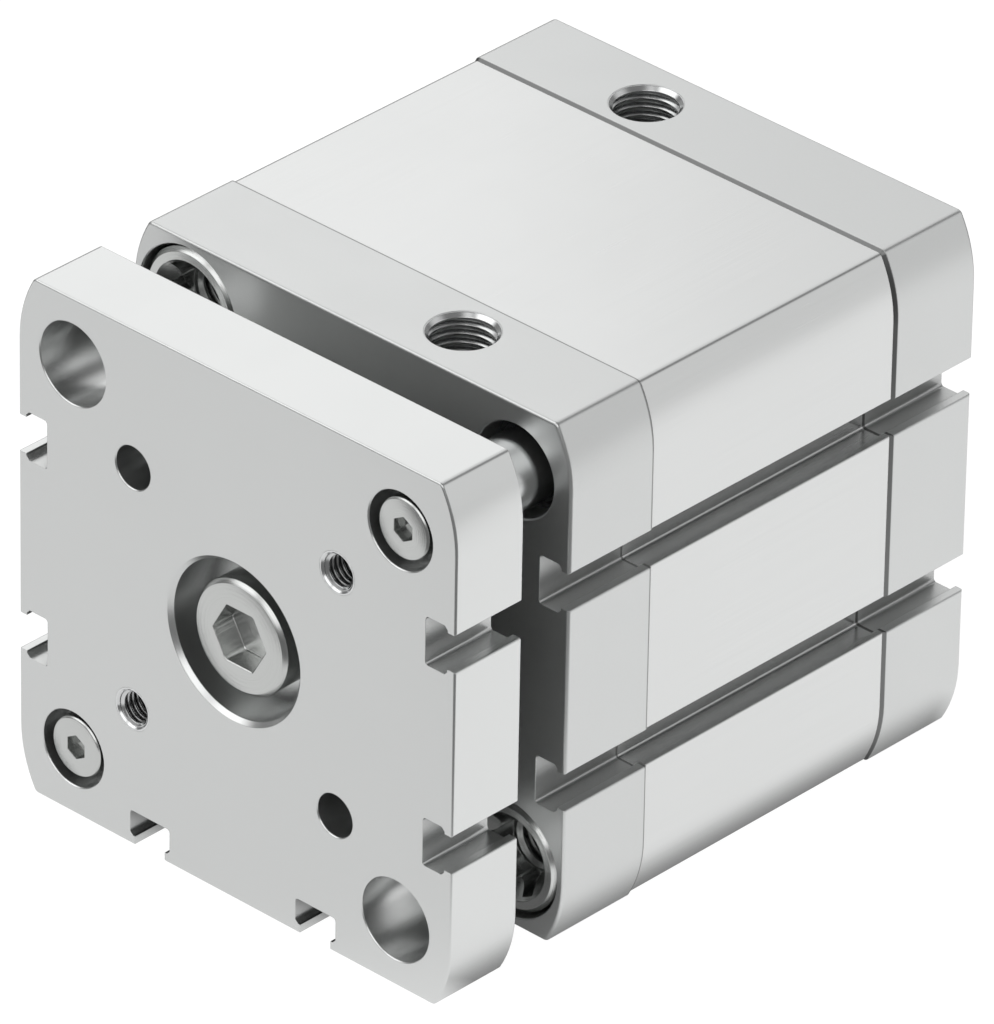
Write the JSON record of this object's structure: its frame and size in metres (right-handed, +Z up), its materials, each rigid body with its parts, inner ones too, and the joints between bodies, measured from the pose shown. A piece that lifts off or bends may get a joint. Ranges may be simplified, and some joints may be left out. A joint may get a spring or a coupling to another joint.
{
  "type": "guided pneumatic cylinder",
  "caption": "Compact pneumatic cylinder with T-slotted square body, guide rods and a moving yoke plate with interface holes.",
  "frame": {"origin": "on the piston axis, in the rear mounting face of the end cap", "axes": "+Y along the piston axis towards the rear, so the yoke plate moves out along -Y; +Z up, out of the supply ports; +X to the right seen from the front"},
  "size_m": [0.0754, 0.0947, 0.0754],
  "materials": {
    "satin_aluminium": "machined and clear anodised, satin",
    "drawn_aluminium": "extruded and clear anodised, faint lengthwise grain",
    "screw_steel": "bright zinc plated",
    "polished_rod": "ground and polished stainless",
    "bearing_bronze": "plain sliding bush",
    "piston_aluminium": "turned",
    "magnet_compound": "plastic-bonded magnet, dull",
    "guide_band_plastic": "filled PTFE, smooth",
    "black_rubber": "moulded elastomer"
  },
  "bodies": {
    "barrel": {"bearing_cap": "satin_aluminium", "cylinder_barrel": "drawn_aluminium", "end_cap": "satin_aluminium", "rod_wiper": "black_rubber", "rod_bush": "bearing_bronze", "front_cap_seal": "black_rubber", "rear_cap_seal": "black_rubber", "front_buffer": "black_rubber", "rear_buffer": "black_rubber", "guide_wiper_1": "black_rubber", "guide_wiper_2": "black_rubber", "guide_bush_1": "bearing_bronze", "guide_bush_2": "bearing_bronze", "front_collar_screw_1": "screw_steel", "front_collar_screw_2": "screw_steel", "rear_collar_screw_1": "screw_steel", "rear_collar_screw_2": "screw_steel", "rear_collar_screw_3": "screw_steel", "rear_collar_screw_4": "screw_steel"},
    "rod": {"yoke_plate": "satin_aluminium", "yoke_screw": "screw_steel", "piston_rod": "polished_rod", "piston_front_half": "piston_aluminium", "piston_rear_half": "piston_aluminium", "piston_front_seal": "black_rubber", "piston_rear_seal": "black_rubber", "magnet_ring": "magnet_compound", "guide_band": "guide_band_plastic", "rod_seal_ring": "black_rubber", "piston_nut": "screw_steel", "guide_rod_1": "polished_rod", "guide_rod_2": "polished_rod", "guide_rod_screw_1": "screw_steel", "guide_rod_screw_2": "screw_steel"}
  },
  "joints": [
    {"name": "rod_slide", "type": "slide", "parent": "barrel", "child": "rod", "axis": [0, -1, 0], "range_m": [0, 0.025]}
  ]
}
